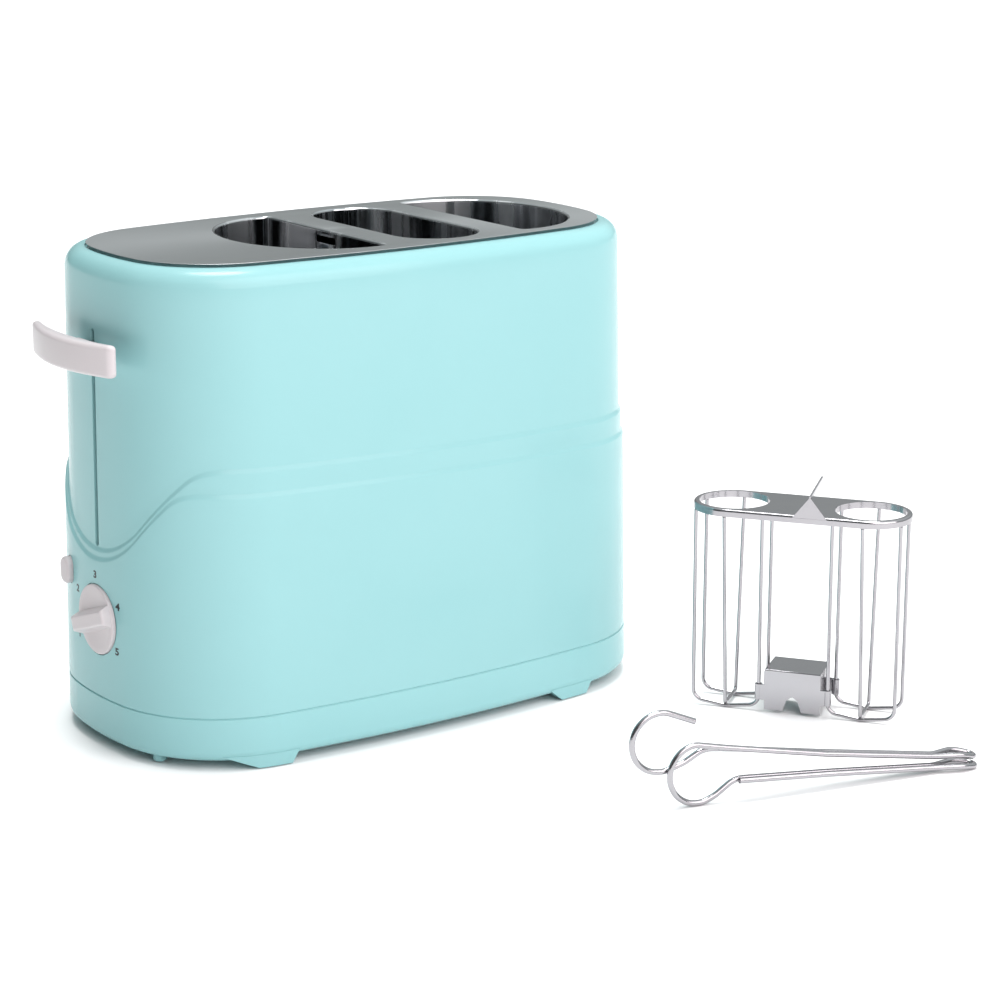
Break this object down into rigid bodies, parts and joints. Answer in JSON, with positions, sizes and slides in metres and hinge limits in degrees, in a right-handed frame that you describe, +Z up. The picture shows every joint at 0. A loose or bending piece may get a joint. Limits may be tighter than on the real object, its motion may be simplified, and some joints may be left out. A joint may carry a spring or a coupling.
{
  "type": "hot dog toaster",
  "caption": "Pop-up hot dog toaster with curved bun wells and a cage well, side lever, timer dial, cancel button and crumb tray, with its lift-out wire sausage cage and wire tongs.",
  "frame": {"origin": "on the table, under the middle of the whole set's footprint: toaster, cage and tongs", "axes": "+Z up; X along the toaster's long side, with the lever, dial and button at its -X end; the front long side faces -Y"},
  "size_m": [0.3286, 0.3208, 0.215],
  "materials": {
    "shell_paint": "glossy light aqua",
    "base_paint": "glossy light aqua",
    "control_plastic": "warm white, semi gloss",
    "plate_steel": "satin",
    "well_chrome": "bright",
    "chassis_steel": "galvanised sheet",
    "wire_chrome": "bright wire",
    "rod_steel": "ground rod",
    "foot_rubber": "matte",
    "mica": "mica sheet",
    "nichrome": "ribbon",
    "bronze": "sintered bushing",
    "copper": "enamelled winding",
    "board": "circuit board",
    "black_plastic": "moulded",
    "tray_steel": "tray sheet"
  },
  "bodies": {
    "housing": {"outer_shell": "shell_paint", "base": "base_paint", "top_plate": "plate_steel", "foot_pads": "foot_rubber", "base_screws": "rod_steel", "cord_bushing": "black_plastic", "chassis_floor": "chassis_steel", "left_bulkhead": "chassis_steel", "right_bulkhead": "chassis_steel", "front_heat_shield": "chassis_steel", "rear_heat_shield": "chassis_steel", "left_reflector": "well_chrome", "right_reflector": "well_chrome", "left_bun_guard": "well_chrome", "cage_guard_left": "well_chrome", "cage_guard_right": "well_chrome", "right_bun_guard": "well_chrome", "element_card_left": "mica", "element_card_right": "mica", "heating_ribbon_left": "nichrome", "heating_ribbon_right": "nichrome", "card_channel_left": "chassis_steel", "card_channel_right": "chassis_steel", "latch_bracket": "chassis_steel", "rod_bracket": "chassis_steel", "guide_rods": "rod_steel", "magnet_core": "rod_steel", "magnet_coil": "copper", "control_board": "board", "timer_pot": "black_plastic", "cancel_switch": "black_plastic", "terminal_block": "black_plastic", "board_components": "black_plastic"},
    "carriage": {"carriage_slider": "chassis_steel", "slider_bushings": "bronze", "front_lift_arm": "chassis_steel", "rear_lift_arm": "chassis_steel", "left_bun_rack": "well_chrome", "cage_rack": "well_chrome", "right_bun_rack": "well_chrome", "latch_keeper": "rod_steel", "lever_arm": "rod_steel", "lever_handle": "control_plastic", "carriage_spring": "rod_steel"},
    "dial": {"dial_knob": "control_plastic", "dial_shaft": "black_plastic"},
    "button": {"cancel_button": "control_plastic"},
    "tray": {"crumb_tray": "tray_steel"},
    "cage": {"cage_top": "wire_chrome", "cage_wires_left": "wire_chrome", "cage_wires_right": "wire_chrome", "cage_bracket": "wire_chrome"},
    "tongs": {"tongs": "wire_chrome"}
  },
  "joints": [
    {"name": "lever_slide", "type": "slide", "parent": "housing", "child": "carriage", "axis": [0, 0, -1], "range_m": [0, 0.08], "stiffness_N_per_m": 60, "springref_m": -0.08, "deforming": ["carriage_spring"]},
    {"name": "dial_turn", "type": "hinge", "parent": "housing", "child": "dial", "pos_m": [-0.15121, 0.084, 0.0576], "axis": [-1, 0, 0], "range_deg": [-233, 15]},
    {"name": "button_press", "type": "slide", "parent": "housing", "child": "button", "axis": [1, 0, 0], "range_m": [0, 0.0025], "stiffness_N_per_m": 400, "springref_m": -0.002},
    {"name": "crumb_tray_slide", "type": "slide", "parent": "housing", "child": "tray", "axis": [0, 1, 0], "range_m": [0, 0.14]},
    {"name": "cage_lift", "type": "slide", "parent": "housing", "child": "cage", "axis": [0, 0, 1], "range_m": [0, 0.25]},
    {"name": "tongs_lift", "type": "slide", "parent": "housing", "child": "tongs", "axis": [0, 0, 1], "range_m": [0, 0.1]}
  ]
}
